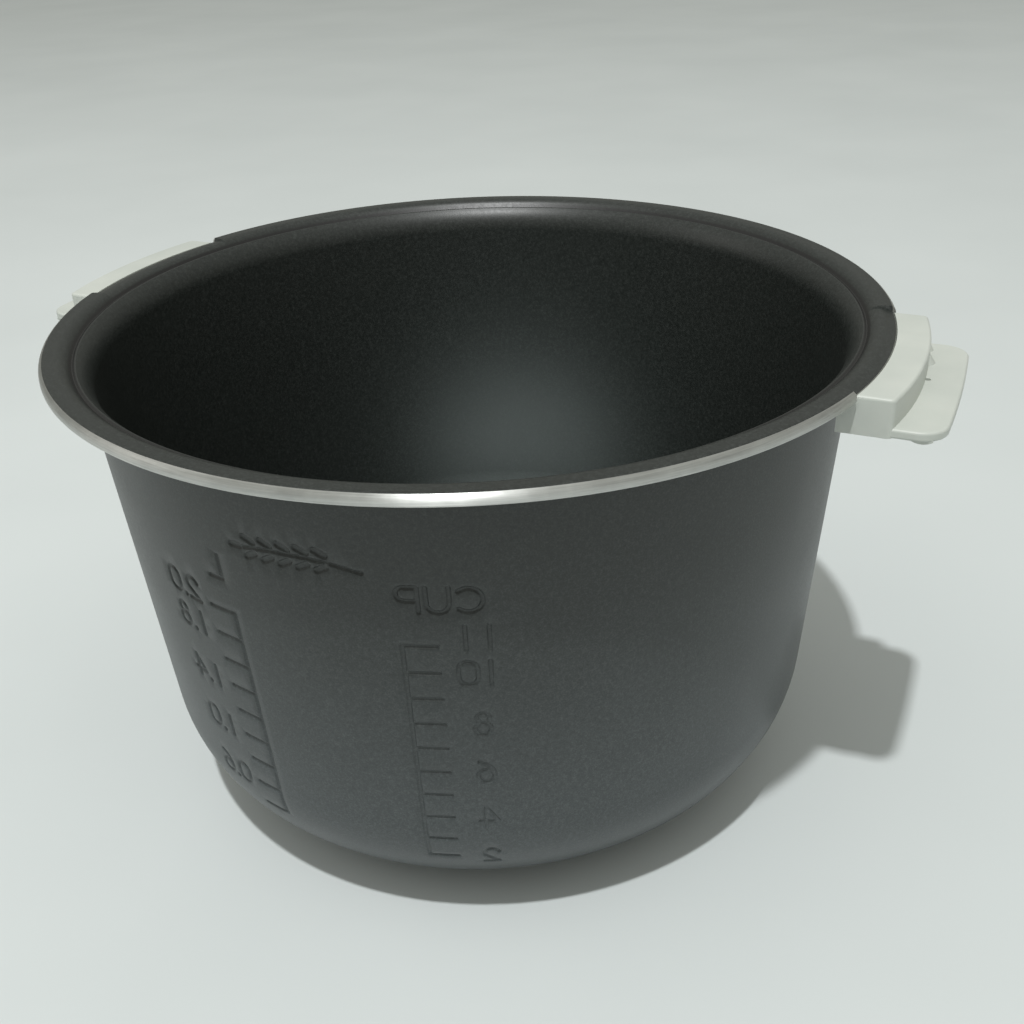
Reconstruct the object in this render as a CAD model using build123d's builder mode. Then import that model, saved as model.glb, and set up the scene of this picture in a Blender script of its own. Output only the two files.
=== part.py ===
from build123d import *

import os
from math import cos, radians, sin, sqrt, tan

# The removable inner pot of a rice cooker: a deep-drawn aluminium bowl with a
# wide flat flange, level scales stamped into its wall, and two moulded
# handles on the flange, each screwed from below to a steel bracket that is
# spot-welded under the flange. Millimetres, +Z up, the origin at the centre of
# the base that stands on the heating plate, the handles along +X and -X.

# ---------------------------------------------------------------- dimensions
# bowl
rim_radius = 120.0
rim_height = 149.0
sheet = 3.0
wall = 2.4
bowl_radius = 109.8
draft = radians(3.9)
corner_radius = 43.0

# flange: its flat top, the sloping step down to a crease, a low ridge beside the
# crease, and the soft shoulder that runs from the ridge into the wall
step_radius = 114.0
crease_radius = 111.7
crease_height = rim_height - 2.7
ridge_radius = 110.8
ridge_height = rim_height - 2.25
shoulder_height = rim_height - 5.8
flange_underside = rim_height - sheet
flange_root_radius = 114.3
neck_height = flange_underside - 4.5

# relief in the rim behind each handle: trimmed back, its top sloping down
relief_start = 115.7
relief_radius = 119.3
relief_depth = 1.6
relief_half_angle = 15.1

# stamped marks: a groove outside, and a bead of the same outline inside
groove_depth = 0.45
bead_height = 0.35
stroke = 1.1
numeral_height = 7.0
mark_plane_radius = 116.0
mark_reach = 28.0
marks_top = 135.0

# handles, measured from the pot's axis along +X
handle_half_width = 30.3
handle_inner_radius = 115.4
handle_outer_radius = 128.0
handle_top = rim_height - 1.5
handle_bottom = rim_height - 11.5
tab_thickness = 2.5
tab_reach = 137.3
tab_bow = 1.0
tab_half_width = handle_half_width - 0.4
tab_corner = 7.0
rim_clearance = 0.1

# brackets and screws
bracket_half_width = 22.0
bracket_inner_radius = 115.6
bracket_outer_radius = 124.5
bracket_thickness = 1.5
bracket_bottom = flange_underside - bracket_thickness
collar_radius = 3.0
collar_height = 2.0
screw_circle_radius = 119.5
screw_offset = 15.0
screw_radius = 1.5
screw_tip = flange_underside - 0.4
head_radius = 2.8
head_height = 2.2
counterbore_depth = 3.0
fit_gap = 0.15


def wall_radius(height, inset=0.0):
    """Radius of the tapered wall at a height, its surface moved inwards by inset."""
    return bowl_radius - (flange_underside - height) * tan(draft) - inset / cos(draft)


def nearest(sketch, x, y):
    """The corner of a sketch that lies nearest to a point."""
    return sketch.vertices().sort_by_distance((x, y, 0))[0]


def bowl(inset, floor, top):
    """A solid bowl with its wall moved inwards by inset and its floor raised."""
    corner = (wall_radius(floor, inset), floor)
    with BuildPart() as form:
        with BuildSketch(Plane.XZ) as outline:
            with BuildLine():
                Polyline((0, floor), corner, (wall_radius(top, inset), top), (0, top), close=True)
            make_face()
            fillet(nearest(outline, *corner), corner_radius - inset)
        revolve(axis=Axis.Z)
    return form.part


# ------------------------------------------------------------- stamped marks
# Every glyph is drawn in strokes inside a BuildLine, centred on x, y.

def glyph_zero(x, y):
    half_height = numeral_height / 2
    bend = 2.3
    straight = half_height - bend
    CenterArc((x, y + straight), bend, 0, 180)
    CenterArc((x, y - straight), bend, 180, 180)
    Line((x - bend, y - straight), (x - bend, y + straight))
    Line((x + bend, y - straight), (x + bend, y + straight))


def glyph_one(x, y):
    half_height = numeral_height / 2
    Line((x, y - half_height), (x, y + half_height))


def glyph_two(x, y):
    half_height = numeral_height / 2
    bend = 2.1
    bowl_centre = y + half_height - bend
    CenterArc((x, bowl_centre), bend, -35, 200)
    start = (x + bend * cos(radians(-35)), bowl_centre + bend * sin(radians(-35)))
    Line(start, (x - bend, y - half_height))
    Line((x - bend, y - half_height), (x + bend, y - half_height))


def glyph_four(x, y):
    half_height = numeral_height / 2
    bar = y - 1.4
    Line((x + 0.8, y - half_height), (x + 0.8, y + half_height))
    Line((x + 0.8, y + half_height), (x - 2.4, bar))
    Line((x - 2.4, bar), (x + 2.4, bar))


def glyph_six(x, y):
    half_height = numeral_height / 2
    bend = 2.15
    centre = y - half_height + bend
    CenterArc((x, centre), bend, 0, 360)
    ThreePointArc((x - bend, centre), (x - 1.1, y + 1.9), (x + 1.6, y + half_height))


def glyph_eight(x, y):
    half_height = numeral_height / 2
    lower = 1.95
    upper = 1.6
    CenterArc((x, y - half_height + lower), lower, 0, 360)
    CenterArc((x, y + half_height - upper), upper, 0, 360)


def glyph_point(x, y):
    low = y - numeral_height / 2
    Line((x, low), (x, low + 0.4))


def glyph_c(x, y):
    CenterArc((x, y), 3.3, 48, 264)


def glyph_u(x, y):
    half_height = numeral_height / 2
    bend = 2.6
    CenterArc((x, y - half_height + bend), bend, 180, 180)
    Line((x - bend, y - half_height + bend), (x - bend, y + half_height))
    Line((x + bend, y - half_height + bend), (x + bend, y + half_height))


def glyph_p(x, y):
    half_height = numeral_height / 2
    bend = 1.9
    Line((x - 2.4, y - half_height), (x - 2.4, y + half_height))
    Line((x - 2.4, y + half_height), (x + 0.6, y + half_height))
    CenterArc((x + 0.6, y + half_height - bend), bend, -90, 180)
    Line((x + 0.6, y + half_height - 2 * bend), (x - 2.4, y + half_height - 2 * bend))


def glyph_l(x, y):
    half_height = numeral_height / 2
    Line((x - 2.0, y - half_height), (x - 2.0, y + half_height))
    Line((x - 2.0, y - half_height), (x + 2.2, y - half_height))


glyphs = {
    "0": glyph_zero,
    "1": glyph_one,
    "2": glyph_two,
    "4": glyph_four,
    "6": glyph_six,
    "8": glyph_eight,
    ".": glyph_point,
    "C": glyph_c,
    "U": glyph_u,
    "P": glyph_p,
    "L": glyph_l,
}


def write(text, x, y, pitch):
    """Strokes of a short text, centred on x, y."""
    first = x - pitch * (len(text) - 1) / 2
    for place, letter in enumerate(text):
        glyphs[letter](first + pitch * place, y)


def mark_plane(azimuth):
    """A plane outside the wall that faces the axis, so marks read from inside."""
    angle = radians(azimuth)
    outward = Vector(cos(angle), sin(angle), 0)
    return Plane(
        origin=outward * mark_plane_radius,
        x_dir=(sin(angle), -cos(angle), 0),
        z_dir=outward * -1,
    )


def scale_ladder(spine_x, tick_end_x, heights):
    """The upright line of a level scale, with a tick at each height."""
    Line((spine_x, heights[0]), (spine_x, heights[-1]))
    for height in heights:
        Line((spine_x, height), (tick_end_x, height))


cup_azimuth = -69.0
cup_heights = [28.4 + 8.15 * step for step in range(10)]
cup_rows = {"2": 0, "4": 2, "6": 4, "8": 6, "10": 8}
unit_height = 115.3

with BuildPart() as cup_scale:
    with BuildSketch(mark_plane(cup_azimuth)):
        with BuildLine():
            scale_ladder(9.3, 1.1, cup_heights)
            for text, row in cup_rows.items():
                write(text, -8.4, cup_heights[row], 5.4)
            write("11", -8.4, cup_heights[-1] + 2.4, 5.6)
            write("CUP", 0, unit_height, 6.9)
        trace(line_width=stroke)
    extrude(amount=mark_reach)

litre_azimuth = -105.0
litre_heights = [31.6 + 8.76 * step for step in range(9)]
litre_rows = {"0.6": 1, "1.0": 3, "1.4": 5, "1.8": 7}

with BuildPart() as litre_scale:
    with BuildSketch(mark_plane(litre_azimuth)):
        with BuildLine():
            scale_ladder(-12.2, -3.9, litre_heights)
            for text, row in litre_rows.items():
                write(text, 6.4, litre_heights[row], 4.0)
            write("2.0", 6.4, litre_heights[-1] + 2.4, 4.0)
            write("L", -8.9, unit_height, 0)
        trace(line_width=stroke)
    extrude(amount=mark_reach)

# a plain ear of grain: a curved stem with pairs of grains and one at its tip
sprig_azimuth = -86.0
sprig_height = 124.0
sprig_half_length = 15.0
grain_pairs = 5
grain_spacing = 4.6

with BuildPart() as sprig:
    with BuildSketch(mark_plane(sprig_azimuth)):
        with BuildLine():
            ThreePointArc(
                (-sprig_half_length, sprig_height - 2),
                (0, sprig_height + 0.6),
                (sprig_half_length, sprig_height),
            )
        trace(line_width=0.8)
        for pair in range(grain_pairs):
            grain_x = -5.5 + grain_spacing * pair
            with Locations((grain_x, sprig_height + 2.4)):
                Ellipse(2.2, 0.95, rotation=28)
            with Locations((grain_x, sprig_height - 1.9)):
                Ellipse(2.2, 0.95, rotation=-28)
        with Locations((sprig_half_length + 2.0, sprig_height)):
            Ellipse(2.2, 0.95)
    extrude(amount=mark_reach)

with BuildPart() as groove_skin:
    add(bowl(0, 0, marks_top))
    add(bowl(groove_depth, groove_depth, marks_top), mode=Mode.SUBTRACT)

with BuildPart() as bead_skin:
    add(bowl(wall, sheet, marks_top))
    add(bowl(wall + bead_height, sheet + bead_height, marks_top), mode=Mode.SUBTRACT)

with BuildPart() as marks:
    add(cup_scale.part)
    add(litre_scale.part)
    add(sprig.part)

with BuildPart() as grooves:
    add(marks.part)
    add(groove_skin.part, mode=Mode.INTERSECT)

with BuildPart() as beads:
    add(marks.part)
    add(bead_skin.part, mode=Mode.INTERSECT)

# ----------------------------------------------------------------- pot shell
outer_corner = (wall_radius(0), 0)
neck = (wall_radius(neck_height), neck_height)
flange_root = (flange_root_radius, flange_underside)
rim_low = (rim_radius, flange_underside)
rim_high = (rim_radius, rim_height)
step_high = (step_radius, rim_height)
crease = (crease_radius, crease_height)
ridge = (ridge_radius, ridge_height)
shoulder = (wall_radius(shoulder_height, wall), shoulder_height)
inner_corner = (wall_radius(sheet, wall), sheet)

rounding = {
    outer_corner: corner_radius,
    neck: 3.0,
    flange_root: 1.2,
    rim_low: 0.5,
    rim_high: 2.0,
    step_high: 4.0,
    crease: 0.3,
    ridge: 0.5,
    shoulder: 11.0,
    inner_corner: corner_radius - wall,
}

with BuildPart() as relief_right:
    with BuildSketch(Plane.XZ):
        with BuildLine():
            Polyline(
                (relief_start, rim_height),
                (relief_radius, rim_height - relief_depth),
                (relief_radius, flange_underside - 1),
                (rim_radius + 1, flange_underside - 1),
                (rim_radius + 1, rim_height + 1),
                (relief_start, rim_height + 1),
                close=True,
            )
        make_face()
    revolve(axis=Axis.Z, revolution_arc=2 * relief_half_angle)

with BuildPart() as pot_shell:
    with BuildSketch(Plane.XZ) as section:
        with BuildLine():
            Polyline((0, 0), *rounding, (0, sheet), close=True)
        make_face()
        for corner, radius in rounding.items():
            fillet(nearest(section, *corner), radius)
    revolve(axis=Axis.Z)
    add(grooves.part, mode=Mode.SUBTRACT)
    add(beads.part)
    for side in (0, 180):
        add(relief_right.part, rotation=(0, 0, side - relief_half_angle), mode=Mode.SUBTRACT)

# ------------------------------------------------------------------- handles
screw_x = sqrt(screw_circle_radius**2 - screw_offset**2)
screw_places = [(screw_x, screw_offset), (screw_x, -screw_offset)]
tab_top = handle_bottom + tab_thickness
seat_height = flange_underside - rim_clearance
head_seat = handle_bottom + counterbore_depth
handle_start = handle_inner_radius - 6.0


def strip(sketch_radius, reach, half_width):
    """The part of a disc that lies within a strip along +X."""
    with Locations(((handle_start + reach) / 2, 0)):
        Rectangle(reach - handle_start, 2 * half_width)
    Circle(sketch_radius, mode=Mode.INTERSECT)


with BuildPart() as handle_right:
    # block that hugs the rim and reaches in under the flange
    with BuildSketch(Plane.XY.offset(handle_bottom)) as block_plan:
        strip(handle_outer_radius, handle_outer_radius + 1, handle_half_width)
        outer_corners = block_plan.vertices().group_by(Axis.X)[-1]
        fillet(outer_corners, 1.5)
        Circle(handle_inner_radius, mode=Mode.SUBTRACT)
    extrude(amount=handle_top - handle_bottom)

    # grip tab, level with the block's bottom
    with BuildSketch(Plane.XY.offset(handle_bottom)) as tab_plan:
        with BuildLine():
            ThreePointArc(
                (tab_reach - tab_bow, -tab_half_width),
                (tab_reach, 0),
                (tab_reach - tab_bow, tab_half_width),
            )
            Polyline(
                (tab_reach - tab_bow, tab_half_width),
                (handle_outer_radius - 6, tab_half_width),
                (handle_outer_radius - 6, -tab_half_width),
                (tab_reach - tab_bow, -tab_half_width),
            )
        make_face()
        for side in (-1, 1):
            fillet(nearest(tab_plan, tab_reach - tab_bow, side * tab_half_width), tab_corner)
    extrude(amount=tab_thickness)

    # soft edges on the tab and on the top of the block
    tab_edges = edges().filter_by(lambda edge: edge.center().X > handle_outer_radius + 1)
    fillet(tab_edges.filter_by(Plane.XY), 0.7)
    top_edges = faces().sort_by(Axis.Z)[-1].edges()
    fillet(top_edges.filter_by(lambda edge: edge.center().X > rim_radius), 0.8)

    # seat for the rim
    with BuildSketch(Plane.XY.offset(seat_height)):
        Circle(relief_radius + rim_clearance)
    extrude(amount=sheet, mode=Mode.SUBTRACT)

    # two lugs at the foot of the block
    for lug_offset in (24.3, 15.0):
        with Locations((sqrt(125.8**2 - lug_offset**2), lug_offset, tab_top - 0.5)):
            Cone(4.4, 0.4, 6.0, align=(Align.CENTER, Align.CENTER, Align.MIN))

    # finger ridge under the tab
    with BuildSketch(Plane.XZ) as ridge_profile:
        with BuildLine():
            ThreePointArc(
                (128.4, handle_bottom),
                (131.1, handle_bottom - 0.8),
                (133.8, handle_bottom),
            )
            Polyline(
                (133.8, handle_bottom),
                (133.8, handle_bottom + 0.5),
                (128.4, handle_bottom + 0.5),
                (128.4, handle_bottom),
            )
        make_face()
    extrude(amount=handle_half_width - 1.4, both=True)

    # small drain hole at the foot of the block
    with Locations((128.5, 3.2, tab_top)):
        Cylinder(0.8, 2.8, mode=Mode.SUBTRACT)

    # recess for the bracket, its collars and the screws
    with BuildSketch(Plane.XY.offset(bracket_bottom - fit_gap)):
        strip(bracket_outer_radius + fit_gap, bracket_outer_radius + 1, bracket_half_width + fit_gap)
    extrude(amount=bracket_thickness + fit_gap, mode=Mode.SUBTRACT)
    with BuildSketch(Plane.XY.offset(bracket_bottom - collar_height - fit_gap)):
        with Locations(screw_places):
            Circle(collar_radius + fit_gap)
    extrude(amount=collar_height + fit_gap, mode=Mode.SUBTRACT)
    with BuildSketch(Plane.XY.offset(handle_bottom)):
        with Locations(screw_places):
            Circle(head_radius + 0.4)
    extrude(amount=counterbore_depth, mode=Mode.SUBTRACT)
    with BuildSketch(Plane.XY.offset(handle_bottom)):
        with Locations(screw_places):
            Circle(screw_radius + 0.2)
    extrude(amount=bracket_bottom - handle_bottom, mode=Mode.SUBTRACT)

with BuildPart() as handle_left:
    add(handle_right.part, rotation=(0, 0, 180))

# ------------------------------------------------------------------ brackets
with BuildPart() as bracket_right:
    with BuildSketch(Plane.XY.offset(bracket_bottom)) as bracket_plan:
        strip(bracket_outer_radius, bracket_outer_radius + 1, bracket_half_width)
        fillet(bracket_plan.vertices().group_by(Axis.X)[-1], 2.0)
        Circle(bracket_inner_radius, mode=Mode.SUBTRACT)
    extrude(amount=bracket_thickness)
    with BuildSketch(Plane.XY.offset(bracket_bottom)):
        with Locations(screw_places):
            Circle(collar_radius)
    extrude(amount=-collar_height)
    with BuildSketch(Plane.XY.offset(bracket_bottom - collar_height)):
        with Locations(screw_places):
            Circle(screw_radius)
    extrude(amount=collar_height + bracket_thickness, mode=Mode.SUBTRACT)

with BuildPart() as bracket_left:
    add(bracket_right.part, rotation=(0, 0, 180))


# -------------------------------------------------------------------- screws
def screw(x, y):
    """A pan-head screw that points up, with a cross recess in its head."""
    with BuildPart() as form:
        with BuildSketch(Plane.XY.offset(head_seat - head_height)):
            with Locations((x, y)):
                Circle(head_radius)
        extrude(amount=head_height)
        fillet(edges().group_by(Axis.Z)[0], 0.9)
        with BuildSketch(Plane.XY.offset(head_seat - head_height)):
            with Locations((x, y)):
                Rectangle(3.0, 0.8)
                Rectangle(0.8, 3.0)
        extrude(amount=1.2, mode=Mode.SUBTRACT)
        with BuildSketch(Plane.XY.offset(head_seat)):
            with Locations((x, y)):
                Circle(screw_radius)
        extrude(amount=screw_tip - head_seat)
        chamfer(edges().group_by(Axis.Z)[-1], 0.3)
    return form.part


# -------------------------------------------------------------------- export
os.makedirs("parts", exist_ok=True)

pieces = {
    "pot_shell": pot_shell.part,
    "handle_right": handle_right.part,
    "handle_left": handle_left.part,
    "bracket_right": bracket_right.part,
    "bracket_left": bracket_left.part,
    "screw_right_back": screw(screw_x, screw_offset),
    "screw_right_front": screw(screw_x, -screw_offset),
    "screw_left_back": screw(-screw_x, screw_offset),
    "screw_left_front": screw(-screw_x, -screw_offset),
}

for name, piece in pieces.items():
    piece.label = name
    export_step(piece, f"parts/{name}.step")
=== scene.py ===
"""The looks of a rice cooker's removable inner pot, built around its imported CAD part.

The bowl is rebuilt as one closed mesh: a revolved profile with every edge rounded, and in its wall a
patch of fine triangles that follow the outlines of the stamped level scales, so the grooves outside and
the beads inside are real shape. The moulded handles, brackets and screws are the CAD solids with
procedural materials. Metres, +Z up, the pot's axis on Z, the handles along +X and -X.
"""

import math

import bpy
import numpy as np
from mathutils import Matrix, Vector
from mathutils.geometry import delaunay_2d_cdt


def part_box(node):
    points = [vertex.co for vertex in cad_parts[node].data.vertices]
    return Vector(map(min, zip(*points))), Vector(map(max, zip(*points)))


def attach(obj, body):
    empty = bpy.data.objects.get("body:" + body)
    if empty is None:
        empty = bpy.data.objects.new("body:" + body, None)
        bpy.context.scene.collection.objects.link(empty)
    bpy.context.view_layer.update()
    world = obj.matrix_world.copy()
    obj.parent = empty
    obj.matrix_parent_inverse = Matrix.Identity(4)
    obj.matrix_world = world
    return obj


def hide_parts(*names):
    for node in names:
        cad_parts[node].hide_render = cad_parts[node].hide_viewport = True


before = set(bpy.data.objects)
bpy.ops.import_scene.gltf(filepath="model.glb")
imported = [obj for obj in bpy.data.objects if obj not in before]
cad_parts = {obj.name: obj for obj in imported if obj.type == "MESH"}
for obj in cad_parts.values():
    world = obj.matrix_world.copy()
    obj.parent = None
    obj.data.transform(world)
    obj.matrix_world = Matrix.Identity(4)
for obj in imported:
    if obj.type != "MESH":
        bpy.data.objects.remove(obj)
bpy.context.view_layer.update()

MM = 0.001


def add_to_scene(name, data):
    thing = bpy.data.objects.new(name, data)
    bpy.context.scene.collection.objects.link(thing)
    return thing


# ---------------------------------------------------------------- dimensions
pot_low, pot_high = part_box("pot_shell")
rim_radius = round(pot_high[1] / MM) * MM
rim_height = pot_high[2]

# the pressed sheet: the flange keeps its thickness, the drawn wall is thinner
sheet = 3.0 * MM
wall = 2.4 * MM
bowl_radius = rim_radius - 10.2 * MM
draft = math.radians(3.9)
corner_radius = 43.0 * MM

# the flange's top, its step down to a crease, the ridge beside that, and the shoulder
step_radius = rim_radius - 6.0 * MM
crease_radius = rim_radius - 8.3 * MM
crease_height = rim_height - 2.7 * MM
ridge_radius = rim_radius - 9.2 * MM
ridge_height = rim_height - 2.25 * MM
shoulder_height = rim_height - 5.8 * MM

# the flange's underside, the place where it leaves the neck, and the neck's foot on the wall
flange_underside = rim_height - sheet
flange_root_radius = rim_radius - 5.7 * MM
neck_height = flange_underside - 4.5 * MM

# relief in the rim behind each grip, its end angle in degrees from the grip's middle
relief_radius = rim_radius - 0.7 * MM
relief_depth = 1.6 * MM
relief_half_angle = 15.05

# roundings of the flange's upper edge; its bare metal ends part of the way round
rim_rounding = 2.0 * MM
relief_rounding = 0.7 * MM
bare_steps = 7

segments = 256
wall_row_spacing = 4.0 * MM

# stamped marks, laid out on a cylinder of the reference radius
reference_radius = 106.0 * MM
groove_depth = 0.45 * MM
bead_height = 0.35 * MM
stroke_half = 0.52 * MM
edge_softness = 0.3 * MM
stem_half = 0.4 * MM
grain_stroke_half = 0.85 * MM
numeral_height = 7.0 * MM
unit_height = 115.3 * MM
top_text_rise = 2.4 * MM
cup_azimuth = -69.0
litre_azimuth = -105.0
ear_azimuth = -86.0
patch_azimuths = (-118.0, -57.0)
patch_heights = (22.0 * MM, 136.0 * MM)

# least radial part of a normal on the wall, which tells it from the flange and the bottom
upright_normal = 0.6


# ------------------------------------------------------------------- profile
def wall_radius(height, inset=0.0):
    """Radius of the tapered wall at a height, its surface moved inwards by inset."""
    return bowl_radius - (flange_underside - height) * math.tan(draft) - inset / math.cos(draft)


def rounded_profile(corners):
    """Rows (radius, height, normal radius, normal height, corner index) round the corners.

    Each corner is (radius, height, rounding, steps); the first and last lie on the axis.
    """
    points = [np.array(corner[:2]) for corner in corners]
    rows = []
    first = (points[1] - points[0]) / np.linalg.norm(points[1] - points[0])
    rows.append((*points[0], first[1], -first[0], 0))
    for index in range(1, len(corners) - 1):
        before = points[index] - points[index - 1]
        after = points[index + 1] - points[index]
        before = before / np.linalg.norm(before)
        after = after / np.linalg.norm(after)
        cross = before[0] * after[1] - before[1] * after[0]
        turn = math.atan2(cross, before @ after)
        rounding, steps = corners[index][2:]
        start = points[index] - before * rounding * math.tan(abs(turn) / 2)
        normal = np.array((before[1], -before[0]))
        side = 1 if turn > 0 else -1
        centre = start - side * normal * rounding
        for step in range(steps + 1):
            angle = turn * step / max(steps, 1)
            turned = np.array((
                normal[0] * math.cos(angle) - normal[1] * math.sin(angle),
                normal[0] * math.sin(angle) + normal[1] * math.cos(angle),
            ))
            rows.append((*(centre + side * turned * rounding), *turned, index))
    last = (points[-1] - points[-2]) / np.linalg.norm(points[-1] - points[-2])
    rows.append((*points[-1], last[1], -last[0], len(corners) - 1))
    return rows


def with_wall_rows(rows, spacing):
    """The same rows, with long straight runs divided evenly."""
    divided = [rows[0]]
    for row in rows[1:]:
        previous = divided[-1]
        run = math.hypot(row[0] - previous[0], row[1] - previous[1])
        pieces = max(1, round(run / spacing))
        for piece in range(1, pieces):
            share = piece / pieces
            between = [a + (b - a) * share for a, b in zip(previous[:4], row[:4])]
            divided.append((*between, previous[4]))
        divided.append(row)
    return divided


def pot_corners(edge_radius, edge_height, edge_rounding):
    """Corners of the pot's section, for a flange edge at a radius and with its top at a height.

    They run from the middle of the underside, up the outside, over the rim and down the inside.
    """
    return [
        (0.0, 0.0, 0, 0),
        (wall_radius(0), 0.0, corner_radius, 26),
        (wall_radius(neck_height), neck_height, 3.0 * MM, 6),
        (flange_root_radius, flange_underside, 1.2 * MM, 5),
        (edge_radius, flange_underside, 0.5 * MM, 5),
        (edge_radius, edge_height, edge_rounding, 10),
        (step_radius, rim_height, 4.0 * MM, 10),
        (crease_radius, crease_height, 0.3 * MM, 5),
        (ridge_radius, ridge_height, 0.5 * MM, 6),
        (wall_radius(shoulder_height, wall), shoulder_height, 11.0 * MM, 16),
        (wall_radius(sheet, wall), sheet, corner_radius - wall, 26),
        (0.0, sheet, 0, 0),
    ]


# places in that list of the rim's lower and upper corners and of the ridge
rim_low_corner = 4
rim_high_corner = 5
ridge_corner = 8

rim_corners = pot_corners(rim_radius, rim_height, rim_rounding)
relief_corners = pot_corners(relief_radius, rim_height - relief_depth, relief_rounding)
profile = with_wall_rows(rounded_profile(rim_corners), wall_row_spacing)
relief_profile = with_wall_rows(rounded_profile(relief_corners), wall_row_spacing)


# ------------------------------------------------------------- stamped marks
# A mark is a list of strokes, each a list of points (x, y) in metres as read from inside the pot.

def arc(x, y, radius, start, sweep, steps=14):
    """Points along an arc; angles in degrees."""
    angles = [math.radians(start + sweep * step / steps) for step in range(steps + 1)]
    return [(x + radius * math.cos(angle), y + radius * math.sin(angle)) for angle in angles]


def glyph(letter, x, y):
    """Strokes of one numeral or unit letter, centred on x, y."""
    half = numeral_height / 2
    if letter == "0":
        bend = 2.3 * MM
        top = arc(x, y + half - bend, bend, 0, 180)
        bottom = arc(x, y - half + bend, bend, 180, 180)
        return [top + bottom + top[:1]]
    if letter == "1":
        return [[(x, y - half), (x, y + half)]]
    if letter == "2":
        bend = 2.1 * MM
        top = arc(x, y + half - bend, bend, 165, -200)
        return [top + [(x - bend, y - half), (x + bend, y - half)]]
    if letter == "4":
        post = x + 0.8 * MM
        bar = y - 1.4 * MM
        arm = 2.4 * MM
        return [[(post, y - half), (post, y + half), (x - arm, bar), (x + arm, bar)]]
    if letter == "6":
        bend = 2.15 * MM
        ring = arc(x, y - half + bend, bend, 0, 360, 24)
        tail = [(x - bend, y - half + bend), (x - 1.95 * MM, y + 0.5 * MM), (x - 1.1 * MM, y + 1.9 * MM)]
        return [ring, tail + [(x + 0.1 * MM, y + 2.9 * MM), (x + 1.6 * MM, y + half)]]
    if letter == "8":
        lower = 1.95 * MM
        upper = 1.6 * MM
        return [
            arc(x, y - half + lower, lower, 0, 360, 22),
            arc(x, y + half - upper, upper, 0, 360, 20),
        ]
    if letter == ".":
        return [[(x, y - half), (x, y - half + 0.3 * MM)]]
    if letter == "C":
        return [arc(x, y, 3.3 * MM, 48, 264, 20)]
    if letter == "U":
        bend = 2.6 * MM
        bottom = arc(x, y - half + bend, bend, 180, 180)
        return [[(x - bend, y + half)] + bottom + [(x + bend, y + half)]]
    if letter == "P":
        bend = 1.9 * MM
        stem = x - 2.4 * MM
        bow = arc(x + 0.6 * MM, y + half - bend, bend, 90, -180, 12)
        return [[(stem, y - half), (stem, y + half)] + bow + [(stem, y + half - 2 * bend)]]

    # the letter L
    stem = x - 2.0 * MM
    return [[(stem, y + half), (stem, y - half), (x + 2.2 * MM, y - half)]]


def writing(text, x, y, pitch):
    """Strokes of a short text, centred on x, y."""
    first = x - pitch * (len(text) - 1) / 2
    strokes = []
    for place, letter in enumerate(text):
        strokes += glyph(letter, first + pitch * place, y)
    return strokes


def ladder(spine_x, tick_end_x, heights):
    """Strokes of a level scale: an upright line with a tick at each height."""
    spine = [[(spine_x, heights[0]), (spine_x, heights[-1])]]
    return spine + [[(spine_x, height), (tick_end_x, height)] for height in heights]


def cup_scale():
    """Strokes of the scale in rice cups, from 2 to 11."""
    heights = [(28.4 + 8.15 * step) * MM for step in range(10)]
    text_x = -8.4 * MM
    strokes = ladder(9.3 * MM, 1.1 * MM, heights)
    for text, row in {"2": 0, "4": 2, "6": 4, "8": 6, "10": 8}.items():
        strokes += writing(text, text_x, heights[row], 5.4 * MM)
    strokes += writing("11", text_x, heights[-1] + top_text_rise, 5.6 * MM)
    strokes += writing("CUP", 0, unit_height, 6.9 * MM)
    return strokes


def litre_scale():
    """Strokes of the scale in litres of rice, from 0.4 to 2.0."""
    heights = [(31.6 + 8.76 * step) * MM for step in range(9)]
    text_x = 6.4 * MM
    pitch = 4.0 * MM
    strokes = ladder(-12.2 * MM, -3.9 * MM, heights)
    for text, row in {"0.6": 1, "1.0": 3, "1.4": 5, "1.8": 7}.items():
        strokes += writing(text, text_x, heights[row], pitch)
    strokes += writing("2.0", text_x, heights[-1] + top_text_rise, pitch)
    strokes += writing("L", -8.9 * MM, unit_height, 0)
    return strokes


def ear_of_grain():
    """The ornament above the scales, as a stem and a list of short grains."""
    y = 124.0 * MM
    reach = 15.0 * MM
    bend = 7.5 * MM
    tilt = math.radians(28)
    grain_half = 1.3 * MM
    run = grain_half * math.cos(tilt)
    rise = grain_half * math.sin(tilt)
    crown = y + 0.6 * MM
    stem = [(-reach, y - 2.0 * MM), (-bend, y - 0.1 * MM), (0, crown), (bend, crown), (reach, y)]
    grains = []
    for pair in range(5):
        x = (-5.5 + 4.6 * pair) * MM
        for middle, side in ((y + 2.4 * MM, 1), (y - 1.9 * MM, -1)):
            grains.append([(x - run, middle - side * rise), (x + run, middle + side * rise)])
    grains.append([(reach + 0.8 * MM, y), (reach + 3.2 * MM, y)])
    return stem, grains


def placed(points, azimuth):
    """Points of a mark as (azimuth, height), for a mark whose middle is at an azimuth."""
    return [(azimuth - math.degrees(x / reference_radius), y) for x, y in points]


def all_marks():
    """Every stroke as (points (azimuth in degrees, height), half width)."""
    strokes = []
    for azimuth, scale in ((cup_azimuth, cup_scale()), (litre_azimuth, litre_scale())):
        for points in scale:
            strokes.append((placed(points, azimuth), stroke_half))
    stem, grains = ear_of_grain()
    strokes.append((placed(stem, ear_azimuth), stem_half))
    for grain in grains:
        strokes.append((placed(grain, ear_azimuth), grain_stroke_half))
    return strokes


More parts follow.
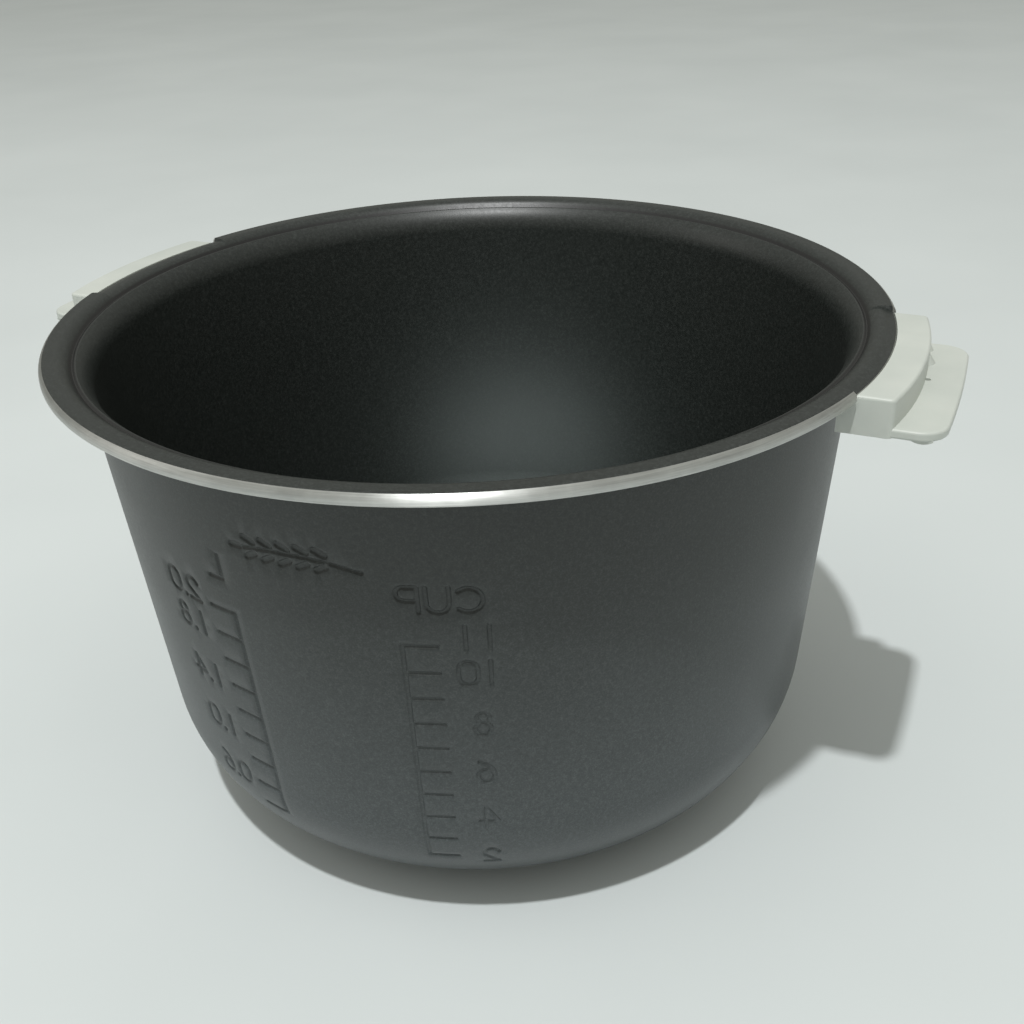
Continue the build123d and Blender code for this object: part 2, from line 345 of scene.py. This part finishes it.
# ------------------------------------------------- the patch that holds them
class Patch:
    """A stretch of one wall, with the marks pressed into it by a signed amount."""

    # grid spacing, how far from a stroke its distance is worked out, and what stands beyond that
    cell = 0.14 * MM
    stroke_reach = 1.6 * MM
    far = 9.0 * MM

    # the bowl's own points keep this far from a stroke, which leaves room for its outlines
    clear_of_marks = 0.8 * MM

    # how closely an outline is followed, the longest side that it keeps, and when points are one
    outline_tolerance = 0.01 * MM
    outline_spacing = 2.4 * MM
    same_point_mm = 1e-5

    def __init__(self, rows, columns, press):
        self.rows = np.array([row[:4] for row in rows])
        self.columns = columns
        self.press = press
        steps = np.hypot(*np.diff(self.rows[:, :2], axis=0).T)
        self.along = np.concatenate(([0.0], np.cumsum(steps)))
        self.rising = self.rows[-1, 1] > self.rows[0, 1]
        self.left = self.column_across(columns[0])
        self.right = self.column_across(columns[-1])
        self.measure()

    def column_across(self, column):
        """Flat coordinate of a column of the bowl's mesh."""
        return column * 2 * math.pi / segments * reference_radius

    def to_plane(self, azimuth, height):
        """The patch's flat coordinates of a point at an azimuth in degrees and a height."""
        across = math.radians(azimuth) * reference_radius
        if self.rising:
            return across, np.interp(height, self.rows[:, 1], self.along)
        return across, np.interp(height, self.rows[::-1, 1], self.along[::-1])

    def measure(self):
        """Distance to the edge of the nearest stroke, and the depth that follows, on a fine grid."""
        self.grid_u = np.arange(self.left, self.right + self.cell, self.cell)
        self.grid_v = np.arange(0.0, self.along[-1] + self.cell, self.cell)
        self.distance = np.full((len(self.grid_v), len(self.grid_u)), self.far)
        for points, half_width in all_marks():
            flat = [np.array(self.to_plane(*point)) for point in points]
            for start, end in zip(flat, flat[1:]):
                low = np.minimum(start, end) - self.stroke_reach - half_width
                high = np.maximum(start, end) + self.stroke_reach + half_width
                u0, u1 = np.searchsorted(self.grid_u, (low[0], high[0]))
                v0, v1 = np.searchsorted(self.grid_v, (low[1], high[1]))
                u, v = np.meshgrid(self.grid_u[u0:u1], self.grid_v[v0:v1])
                run = end - start
                share = ((u - start[0]) * run[0] + (v - start[1]) * run[1]) / max(run @ run, 1e-12)
                share = np.clip(share, 0, 1)
                gap = np.hypot(u - start[0] - share * run[0], v - start[1] - share * run[1]) - half_width
                window = self.distance[v0:v1, u0:u1]
                np.minimum(window, gap, out=window)
        share = np.clip((edge_softness - self.distance) / (2 * edge_softness), 0, 1)
        self.depth = self.press * share * share * (3 - 2 * share)
        self.slope_v, self.slope_u = np.gradient(self.depth, self.cell)

    def sample(self, field, u, v):
        """A grid field at points, between its cells."""
        column = np.clip((u - self.left) / self.cell, 0, len(self.grid_u) - 1.001)
        row = np.clip(v / self.cell, 0, len(self.grid_v) - 1.001)
        c, r = column.astype(int), row.astype(int)
        s, t = column - c, row - r
        lower = field[r, c] * (1 - s) + field[r, c + 1] * s
        upper = field[r + 1, c] * (1 - s) + field[r + 1, c + 1] * s
        return lower * (1 - t) + upper * t

    def contour(self, level):
        """Closed outlines where the distance equals a level, as arrays of points."""
        inside = self.distance < level
        code = inside[:-1, :-1] + 2 * inside[:-1, 1:] + 4 * inside[1:, 1:] + 8 * inside[1:, :-1]
        follow = {}
        spots = {}

        def crossing(r0, c0, r1, c1):
            """Name of the spot where the outline crosses the line between two grid points."""
            key = (min(r0, r1), min(c0, c1), r0 == r1)
            if key not in spots:
                a, b = self.distance[r0, c0], self.distance[r1, c1]
                share = (level - a) / (b - a)
                row, column = r0 + (r1 - r0) * share, c0 + (c1 - c0) * share
                spots[key] = (self.left + column * self.cell, row * self.cell)
            return key

        # only a cell whose four corners are not all on one side holds a stretch of outline
        for r, c in np.argwhere((code > 0) & (code < 15)):
            corners = ((r, c), (r, c + 1), (r + 1, c + 1), (r + 1, c))
            bits = [bool(code[r, c] >> bit & 1) for bit in range(4)]
            leaving = [bit for bit in range(4) if bits[bit] and not bits[(bit + 1) % 4]]
            entering = [bit for bit in range(4) if not bits[bit] and bits[(bit + 1) % 4]]
            for out_side in leaving:
                in_side = max(entering, key=lambda side: (side < out_side, side))
                entering.remove(in_side)
                start = crossing(*corners[out_side], *corners[(out_side + 1) % 4])
                end = crossing(*corners[in_side], *corners[(in_side + 1) % 4])
                follow[start] = end
        loops = []
        while follow:
            key = next(iter(follow))
            loop = []
            while key in follow:
                loop.append(spots[key])
                key = follow.pop(key)
            loops.append(np.array(loop))
        return loops

    def triangles(self):
        """Flat points, triangles, and the row and column of each point that is one of the bowl's own."""
        points, edges, names = [], [], []
        for row, v in enumerate(self.along):
            for column in self.columns:
                u = self.column_across(column)
                on_border = row in (0, len(self.along) - 1) or column in (self.columns[0], self.columns[-1])
                distance = self.sample(self.distance, np.array([u]), np.array([v]))[0]
                if on_border or distance > self.clear_of_marks:
                    names.append((row, column))
                    points.append((u, v))
        for level in (-edge_softness, -edge_softness / 3, edge_softness / 3, edge_softness):
            for loop in self.contour(level):
                outline = simplified_loop(loop, self.outline_tolerance)
                outline = divided_loop(outline, self.outline_spacing)
                first = len(points)
                count = len(outline)
                points += [tuple(point) for point in outline]
                edges += [(first + place, first + (place + 1) % count) for place in range(count)]
        scaled = [Vector((u / MM, v / MM)) for u, v in points]
        result = delaunay_2d_cdt(scaled, edges, [], 0, self.same_point_mm)
        flat = np.array([tuple(point) for point in result[0]]) * MM
        names = {
            new: names[old[0]]
            for new, old in enumerate(result[3])
            if old and old[0] < len(names)
        }
        return flat, np.array(result[2]), names

    def surface(self, flat):
        """3-D points and normals for flat points, pressed towards the pot's axis."""
        u, v = flat.T
        radius, height, normal_r, normal_z = (np.interp(v, self.along, column) for column in self.rows.T)
        depth = self.sample(self.depth, u, v)
        slope_u = self.sample(self.slope_u, u, v)
        slope_v = self.sample(self.slope_v, u, v)
        angle = u / reference_radius
        radial = np.stack((np.cos(angle), np.sin(angle), 0 * angle), axis=1)
        around = np.stack((-np.sin(angle), np.cos(angle), 0 * angle), axis=1)
        up = np.array((0.0, 0.0, 1.0))
        normal = radial * normal_r[:, None] + up * normal_z[:, None]
        forward = up * normal_r[:, None] - radial * normal_z[:, None]
        base = radial * radius[:, None] + up * height[:, None]
        place = base - normal * depth[:, None]
        tilted = normal + around * slope_u[:, None] + forward * slope_v[:, None]
        return place, tilted / np.linalg.norm(tilted, axis=1)[:, None]


def simplified_loop(loop, tolerance):
    """A closed outline with points dropped where it stays within a tolerance."""
    far = int(np.argmax(np.linalg.norm(loop - loop[0], axis=1)))
    keep = {0, far}
    spans = [(0, far), (far, len(loop))]
    closed = np.vstack((loop, loop[:1]))
    while spans:
        start, end = spans.pop()
        if end - start < 2:
            continue
        run = closed[end] - closed[start]
        middle = closed[start + 1:end] - closed[start]
        length = max(np.linalg.norm(run), 1e-9)
        away = np.abs(middle[:, 0] * run[1] - middle[:, 1] * run[0]) / length
        worst = int(np.argmax(away))
        if away[worst] > tolerance:
            split = start + 1 + worst
            keep.add(split)
            spans += [(start, split), (split, end)]
    return loop[sorted(keep)]


def divided_loop(loop, longest):
    """A closed outline with its long sides divided."""
    points = []
    for start, end in zip(loop, np.roll(loop, -1, axis=0)):
        pieces = max(1, math.ceil(np.linalg.norm(end - start) / longest))
        points += [start + (end - start) * piece / pieces for piece in range(pieces)]
    return np.array(points)


# ----------------------------------------------------------------- pot shell
# material slots of the bowl
outer_coating, bare_metal, inner_coating = range(3)


def patch_rows(outside):
    """First and last profile row of the wall that carries marks, on one side of the sheet."""
    low, high = patch_heights
    chosen = [
        index
        for index, row in enumerate(profile)
        if low < row[1] < high and (row[2] > 0) == outside and abs(row[2]) > upright_normal
    ]
    return chosen[0], chosen[-1]


def rows_of_corner(corner):
    """Profile rows that round one corner of the section."""
    return [index for index, row in enumerate(profile) if row[4] == corner]


def column_place(column):
    """Angle of a column of points, and whether it crosses the relief behind a grip.

    The last column of each relief and the first one past it are moved to stand close on either side of
    the relief's end.
    """
    spacing = 360 / segments
    margin = 0.1
    end_gap = 0.006
    degrees = column * spacing
    grip = round(degrees / 180) * 180
    offset = degrees - grip
    last_inside = math.floor(relief_half_angle / spacing) * spacing
    if last_inside - margin < abs(offset) < last_inside + spacing + margin:
        end = math.copysign(relief_half_angle, offset)
        past = abs(offset) > last_inside + margin
        offset = end * (1 + (end_gap if past else -end_gap))
        return math.radians(grip + offset), not past
    return math.radians(degrees), abs(offset) < relief_half_angle


class PotShell:
    """The bowl's mesh while it is put together: revolved rows, with the patches set into the wall."""

    def __init__(self):
        self.vertices, self.normals, self.faces, self.finishes = [], [], [], []
        self.ring = {}
        self.last_row = len(profile) - 1
        self.bare_from = rows_of_corner(rim_low_corner)[1]
        self.bare_to = rows_of_corner(rim_high_corner)[0] + bare_steps
        self.inside_from = max(rows_of_corner(ridge_corner))

        turn = 2 * math.pi / segments
        first = math.floor(math.radians(patch_azimuths[0]) / turn)
        last = math.ceil(math.radians(patch_azimuths[1]) / turn)
        self.patch_columns = list(range(first, last + 1))
        self.patch_spans = [patch_rows(outside=True), patch_rows(outside=False)]

        self.add_points()
        self.add_quads()
        for (low, high), press in zip(self.patch_spans, (groove_depth, -bead_height)):
            self.add_patch(low, high, press)

    def at(self, row, column):
        """Vertex of a profile row and a column, one for all columns on the axis."""
        if row in (0, self.last_row):
            return self.ring[row, 0]
        return self.ring[row, column % segments]

    def finish(self, row):
        """Material slot of the faces that start at a profile row."""
        if self.bare_from <= row < self.bare_to:
            return bare_metal
        return inner_coating if row >= self.inside_from else outer_coating

    def add_points(self):
        """Points of every row, on the relief's section behind the grips."""
        for row in range(len(profile)):
            at_axis = row in (0, self.last_row)
            for column in range(1 if at_axis else segments):
                angle, relieved = column_place(column)
                direction = np.array((math.cos(angle), math.sin(angle), 0))
                section = relief_profile if relieved else profile
                radius, height, normal_r, normal_z = section[row][:4]
                self.ring[row, column] = len(self.vertices)
                self.vertices.append(direction * radius + np.array((0, 0, height)))
                self.normals.append(direction * normal_r + np.array((0, 0, normal_z)))

    def add_quads(self):
        """Faces between neighbouring rows and columns, except where a patch goes."""
        covered = {column % segments for column in self.patch_columns[:-1]}
        for row in range(self.last_row):
            in_wall = any(low <= row < high for low, high in self.patch_spans)
            for column in range(segments):
                if in_wall and column in covered:
                    continue
                lower = [self.at(row, column), self.at(row, column + 1)]
                upper = [self.at(row + 1, column + 1), self.at(row + 1, column)]
                corners = lower + upper
                self.faces.append([c for place, c in enumerate(corners) if c not in corners[:place]])
                self.finishes.append(self.finish(row))

    def add_patch(self, low, high, press):
        """Triangles of one patch, joined to the rows round its border."""
        patch = Patch(profile[low:high + 1], self.patch_columns, press)
        flat, triangles, names = patch.triangles()
        places, tilts = patch.surface(flat)
        number = {}
        for new in range(len(flat)):
            if new in names:
                row, column = names[new]
                number[new] = self.at(low + row, column)
            else:
                number[new] = len(self.vertices)
                self.vertices.append(places[new])
                self.normals.append(tilts[new])
        for a, b, c in triangles:
            corners = np.array([self.vertices[number[k]] for k in (a, b, c)])
            facing = np.cross(corners[1] - corners[0], corners[2] - corners[0])
            outward = sum(self.normals[number[k]] for k in (a, b, c))
            order = (a, b, c) if facing @ outward > 0 else (a, c, b)
            self.faces.append([number[k] for k in order])
            self.finishes.append(self.finish(low))

    def to_object(self, name):
        used = sorted({corner for face in self.faces for corner in face})
        renumber = {old: new for new, old in enumerate(used)}
        vertices = [tuple(self.vertices[old]) for old in used]
        faces = [[renumber[corner] for corner in face] for face in self.faces]
        mesh = bpy.data.meshes.new(name)
        mesh.from_pydata(vertices, [], faces)
        mesh.validate()
        mesh.polygons.foreach_set("use_smooth", [True] * len(mesh.polygons))
        mesh.polygons.foreach_set("material_index", self.finishes)
        mesh.update()
        mesh.normals_split_custom_set_from_vertices([tuple(self.normals[old]) for old in used])
        return add_to_scene(name, mesh)


# ----------------------------------------------------------------- materials
class Nodes:
    """A new material and short calls that add nodes to it."""

    def __init__(self, name):
        self.material = bpy.data.materials.new(name)
        self.material.use_nodes = True
        self.tree = self.material.node_tree
        self.shader = self.tree.nodes["Principled BSDF"]
        self.place = self.add("ShaderNodeTexCoord").outputs["Object"]

    def add(self, kind, **inputs):
        node = self.tree.nodes.new(kind)
        for name, value in inputs.items():
            self.set(node, name.replace("_", " "), value)
        return node

    def set(self, node, name, value):
        socket = node.inputs[name]
        if isinstance(value, bpy.types.NodeSocket):
            self.tree.links.new(value, socket)
        else:
            socket.default_value = value

    def shade(self, **inputs):
        for name, value in inputs.items():
            self.set(self.shader, name.replace("_", " "), value)

    def noise(self, scale, detail=3.0, roughness=0.5, place=None):
        node = self.add("ShaderNodeTexNoise", Scale=scale, Detail=detail, Roughness=roughness)
        self.set(node, "Vector", place or self.place)
        return node.outputs["Fac"]

    def ramp(self, value, *stops):
        node = self.add("ShaderNodeValToRGB", Fac=value)
        elements = node.color_ramp.elements
        while len(elements) < len(stops):
            elements.new(0.5)
        for element, (position, colour) in zip(elements, stops):
            element.position = position
            element.color = (*colour, 1)
        return node.outputs["Color"]

    def span(self, value, low, high):
        """A noise value, which lies mostly between 0.3 and 0.7, spread over a range."""
        node = self.add("ShaderNodeMapRange", Value=value)
        self.set(node, "From Min", 0.3)
        self.set(node, "From Max", 0.7)
        self.set(node, "To Min", low)
        self.set(node, "To Max", high)
        return node.outputs["Result"]

    def turn_around_axis(self):
        """Tangents that run round the pot's axis, for finishes made by turning."""
        around = self.add("ShaderNodeTangent")
        around.direction_type = "RADIAL"
        around.axis = "Z"
        self.shade(Tangent=around.outputs["Tangent"])

    def smooth(self, value, start, end):
        """0 to 1 with soft ends while a value goes from start to end."""
        node = self.add("ShaderNodeMapRange", Value=value)
        node.interpolation_type = "SMOOTHSTEP"
        self.set(node, "From Min", start)
        self.set(node, "From Max", end)
        return node.outputs["Result"]

    def math(self, operation, *values):
        node = self.tree.nodes.new("ShaderNodeMath")
        node.operation = operation
        for socket, value in zip(node.inputs, values):
            if isinstance(value, bpy.types.NodeSocket):
                self.tree.links.new(value, socket)
            else:
                socket.default_value = value
        return node.outputs[0]

    def blend(self, first, second, share):
        """Two values added in proportion, the first with its share and the second with the rest."""
        return self.math("ADD", self.math("MULTIPLY", first, share), self.math("MULTIPLY", second, 1 - share))

    def mix(self, share, first, second):
        node = self.tree.nodes.new("ShaderNodeMix")
        node.data_type = "RGBA"
        self.tree.links.new(share, node.inputs["Factor"])
        self.tree.links.new(first, node.inputs["A"])
        self.tree.links.new(second, node.inputs["B"])
        return node.outputs["Result"]

    def bump(self, height, strength, distance):
        node = self.add("ShaderNodeBump", Height=height, Strength=strength, Distance=distance)
        return node.outputs["Normal"]

    def stretched(self, x, y, z):
        """Object coordinates stretched along the axes, for grain with a direction."""
        node = self.add("ShaderNodeMapping", Vector=self.place)
        node.inputs["Scale"].default_value = (x, y, z)
        return node.outputs["Vector"]


def coating_grain(n):
    """Fine specks of the coating, a coarser grain, the two together, and soft clouds."""
    speck = n.noise(2300, detail=2.0, roughness=0.6)
    fine = n.noise(900, detail=2.0)
    mixed = n.blend(speck, fine, 0.6)
    cloud = n.noise(28, detail=4.0)
    return speck, fine, mixed, cloud


# colours of the coating as (place in the grain, colour): as made, lighter ones for painted light low on the
# wall, and near black ones for painted shade in the flange's crease
dark_stops = (
    (0.32, (0.009, 0.0115, 0.010)),
    (0.50, (0.018, 0.0215, 0.0195)),
    (0.68, (0.038, 0.043, 0.040)),
)
# painted light: lighter colours for the lower wall, standing in for the floor's reflected light and for the
# flange's shadow on the upper wall
lit_low_wall_stops = (
    (0.32, (0.039, 0.0455, 0.0475)),
    (0.50, (0.058, 0.0675, 0.0705)),
    (0.68, (0.095, 0.107, 0.111)),
)
# painted shade: near black colours that draw a line of shade along the flange's crease
crease_shade_stops = (
    (0.30, (0.003, 0.003, 0.003)),
    (0.70, (0.008, 0.008, 0.008)),
)
coating_ior = 1.52
coating_bump = 0.06 * MM

# share of a full circle by which the spread of a highlight is turned from the tangent
quarter_turn = 0.25


def coating_material():
    """The coating outside and on the flange, made lighter low on the wall as painted light, with painted
    shade in the flange's crease.
    """
    painted_light_heights = (20.0 * MM, 135.0 * MM)
    painted_light_unevenness = 30.0 * MM
    # painted shade: how wide the crease's shade line is and how high on the flange it starts
    crease_shade_edges = (1.1 * MM, 0.5 * MM)
    crease_shade_heights = (crease_height - 1.5 * MM, crease_height - 0.5 * MM)

    n = Nodes("nonstick_coating")
    speck, fine, mixed, cloud = coating_grain(n)
    parts = n.add("ShaderNodeSeparateXYZ", Vector=n.place).outputs
    # painted light: the lighter colours low on the wall turn into the dark ones towards the flange, along an
    # uneven line
    shift = n.math("MULTIPLY", n.math("SUBTRACT", cloud, 0.5), painted_light_unevenness)
    unlit_share = n.smooth(n.math("ADD", parts["Z"], shift), *painted_light_heights)
    colour = n.mix(unlit_share, n.ramp(mixed, *lit_low_wall_stops), n.ramp(mixed, *dark_stops))

    # painted shade: the coating turns near black along the flange's crease
    squares = n.math("ADD", n.math("POWER", parts["X"], 2), n.math("POWER", parts["Y"], 2))
    off_crease = n.math("ABSOLUTE", n.math("SUBTRACT", n.math("POWER", squares, 0.5), crease_radius))
    crease_shade_on_flange = n.smooth(parts["Z"], *crease_shade_heights)
    crease_shade_band = n.smooth(off_crease, *crease_shade_edges)
    colour = n.mix(n.math("MULTIPLY", crease_shade_band, crease_shade_on_flange), colour, n.ramp(mixed, *crease_shade_stops))

    n.shade(Base_Color=colour, Metallic=0.0, IOR=coating_ior)
    n.shade(Roughness=n.span(n.blend(fine, cloud, 0.6), 0.35, 0.45))
    n.shade(Normal=n.bump(speck, 0.35, coating_bump))
    return n.material


def inside_coating_material():
    """The same coating on the turned inner face, where light spreads across the turning marks."""
    n = Nodes("nonstick_coating_inside")
    speck, fine, mixed, cloud = coating_grain(n)
    n.shade(Base_Color=n.ramp(mixed, *dark_stops), Metallic=0.0, IOR=coating_ior)
    n.shade(Anisotropic=0.2, Anisotropic_Rotation=quarter_turn)
    n.turn_around_axis()
    n.shade(Roughness=n.span(n.blend(fine, cloud, 0.7), 0.36, 0.43))
    n.shade(Normal=n.bump(speck, 0.35, coating_bump))
    return n.material


def bare_metal_material():
    """The cut edge of the flange: turned aluminium, worn unevenly."""
    n = Nodes("bare_rim_edge")
    turned = n.noise(60, detail=6.0, roughness=0.7, place=n.stretched(1, 1, 60))
    wear = n.noise(140, detail=4.0)
    colour = n.ramp(
        n.blend(turned, wear, 0.6),
        (0.35, (0.52, 0.525, 0.51)),
        (0.65, (0.79, 0.80, 0.775)),
    )
    n.shade(Base_Color=colour, Metallic=1.0)
    n.shade(Anisotropic=0.95, Anisotropic_Rotation=quarter_turn)
    n.turn_around_axis()
    n.shade(Roughness=n.span(wear, 0.40, 0.48))
    n.shade(Normal=n.bump(turned, 0.25, 0.08 * MM))
    return n.material


def ivory_material():
    n = Nodes("ivory_plastic")
    cloud = n.noise(45, detail=5.0)
    fine = n.noise(1400, detail=2.0)
    colour = n.ramp(
        cloud,
        (0.35, (0.525, 0.555, 0.515)),
        (0.65, (0.585, 0.61, 0.565)),
    )
    n.shade(Base_Color=colour, IOR=1.5)
    n.shade(Roughness=n.span(n.blend(cloud, fine, 0.6), 0.34, 0.48))
    n.shade(Normal=n.bump(fine, 0.12, 0.05 * MM))
    return n.material


def steel_material(name, low, high, roughness):
    """Brushed steel, its grey between low and high."""
    n = Nodes(name)
    brushed = n.noise(120, detail=5.0, place=n.stretched(1, 14, 1))
    colour = n.ramp(brushed, (0.35, (low, low, low)), (0.65, (high, high, high)))
    n.shade(Base_Color=colour, Metallic=1.0)
    n.shade(Roughness=n.span(brushed, roughness - 0.06, roughness + 0.08))
    n.shade(Normal=n.bump(brushed, 0.15, 0.05 * MM))
    return n.material


def floor_material():
    n = Nodes("pale_floor")
    cloud = n.noise(5, detail=3.0)
    fine = n.noise(500, detail=2.0)
    colour = n.ramp(cloud, (0.3, (0.645, 0.685, 0.685)), (0.7, (0.685, 0.725, 0.725)))
    n.shade(Base_Color=colour)
    n.shade(Roughness=n.span(fine, 0.55, 0.65))
    n.shade(Normal=n.bump(fine, 0.05, 0.1 * MM))
    return n.material


# --------------------------------------------------------------- the pieces
pot = PotShell().to_object("pot_bowl")
for material in (coating_material(), bare_metal_material(), inside_coating_material()):
    pot.data.materials.append(material)
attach(pot, "root")
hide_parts("pot_shell")

cad_finishes = {
    "handle": ivory_material(),
    "bracket": steel_material("bracket_steel", 0.42, 0.6, roughness=0.34),
    "screw": steel_material("screw_steel", 0.5, 0.7, roughness=0.25),
}
for name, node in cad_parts.items():
    kind = name.split("_")[0]
    if kind in cad_finishes:
        for slot in node.material_slots:
            slot.material = cad_finishes[kind]


# ------------------------------------------------------ floor, light, camera
def build_floor():
    half = 3.0
    mesh = bpy.data.meshes.new("floor")
    corners = [(-half, -half, 0), (half, -half, 0), (half, half, 0), (-half, half, 0)]
    mesh.from_pydata(corners, [], [(0, 1, 2, 3)])
    mesh.materials.append(floor_material())
    add_to_scene("floor", mesh)


def build_world():
    """An even grey room, brighter overhead."""
    world = bpy.data.worlds.new("studio")
    world.use_nodes = True
    tree = world.node_tree
    background = tree.nodes["Background"]
    place = tree.nodes.new("ShaderNodeTexCoord")
    parts = tree.nodes.new("ShaderNodeSeparateXYZ")
    ramp = tree.nodes.new("ShaderNodeValToRGB")
    tree.links.new(place.outputs["Generated"], parts.inputs["Vector"])
    tree.links.new(parts.outputs["Z"], ramp.inputs["Fac"])
    tree.links.new(ramp.outputs["Color"], background.inputs["Color"])
    horizon, zenith = ramp.color_ramp.elements
    horizon.position = 0.05
    horizon.color = (0.18, 0.18, 0.16, 1)
    zenith.position = 0.8
    zenith.color = (0.53, 0.535, 0.50, 1)
    background.inputs["Strength"].default_value = 1.08
    bpy.context.scene.world = world


def area_light(name, azimuth, elevation, distance, size, power, colour):
    """A square light that looks at the pot from a direction in degrees."""
    light = bpy.data.lights.new(name, "AREA")
    light.size = size
    light.energy = power
    light.color = colour
    a = math.radians(azimuth)
    e = math.radians(elevation)
    direction = Vector((math.cos(a) * math.cos(e), math.sin(a) * math.cos(e), math.sin(e)))
    lamp = add_to_scene(name, light)
    lamp.location = direction * distance + Vector((0, 0, rim_height / 2))
    lamp.rotation_euler = direction.to_track_quat("Z", "Y").to_euler()


def spot_light(name, place, target, cone, size, power, colour):
    """A soft-edged spot of light from a place towards a target, its cone in degrees."""
    light = bpy.data.lights.new(name, "SPOT")
    light.energy = power
    light.color = colour
    light.spot_size = math.radians(cone)
    light.spot_blend = 1.0
    light.shadow_soft_size = size
    lamp = add_to_scene(name, light)
    lamp.location = place
    lamp.rotation_euler = (Vector(place) - Vector(target)).to_track_quat("Z", "Y").to_euler()


def build_camera():
    """A camera above the floor on the side of the scales, its angles in radians."""
    azimuth = math.radians(-63.0)
    distance = 2.6963 * rim_radius
    height = 2.1574 * rim_radius
    pitch = 0.5123
    yaw = 0.0296
    roll = -0.0426
    aim = azimuth + math.pi - yaw
    forward = Vector((math.cos(aim) * math.cos(pitch), math.sin(aim) * math.cos(pitch), -math.sin(pitch)))
    right = Vector((math.sin(aim), -math.cos(aim), 0))
    up = right.cross(forward)
    tilted_right = right * math.cos(roll) + up * math.sin(roll)
    tilted_up = up * math.cos(roll) - right * math.sin(roll)
    data = bpy.data.cameras.new("camera")
    data.sensor_width = 36.0
    data.lens = 40.43
    data.clip_start = 0.01
    place = Vector((math.cos(azimuth) * distance, math.sin(azimuth) * distance, height))
    turned = Matrix((tilted_right, tilted_up, -forward)).transposed().to_4x4()
    camera = add_to_scene("camera", data)
    camera.matrix_world = Matrix.Translation(place) @ turned
    bpy.context.scene.camera = camera


build_floor()
build_world()
area_light(
    "key",
    azimuth=-78.0,
    elevation=70.0,
    distance=2.4,
    size=0.075,
    power=36.5,
    colour=(0.985, 1.0, 1.0),
)
area_light(
    "fill",
    azimuth=-160.0,
    elevation=28.0,
    distance=2.5,
    size=1.4,
    power=4.4,
    colour=(1.0, 0.97, 0.93),
)
# the light that the bright bottom of the bowl throws back onto its far wall
spot_light(
    "bottom_glow",
    place=(-0.010, -0.012, 0.016),
    target=(-0.021, 0.098, 0.044),
    cone=105.0,
    size=0.036,
    power=0.18,
    colour=(0.86, 1.0, 0.97),
)
bpy.context.scene.view_settings.view_transform = "Standard"
build_camera()
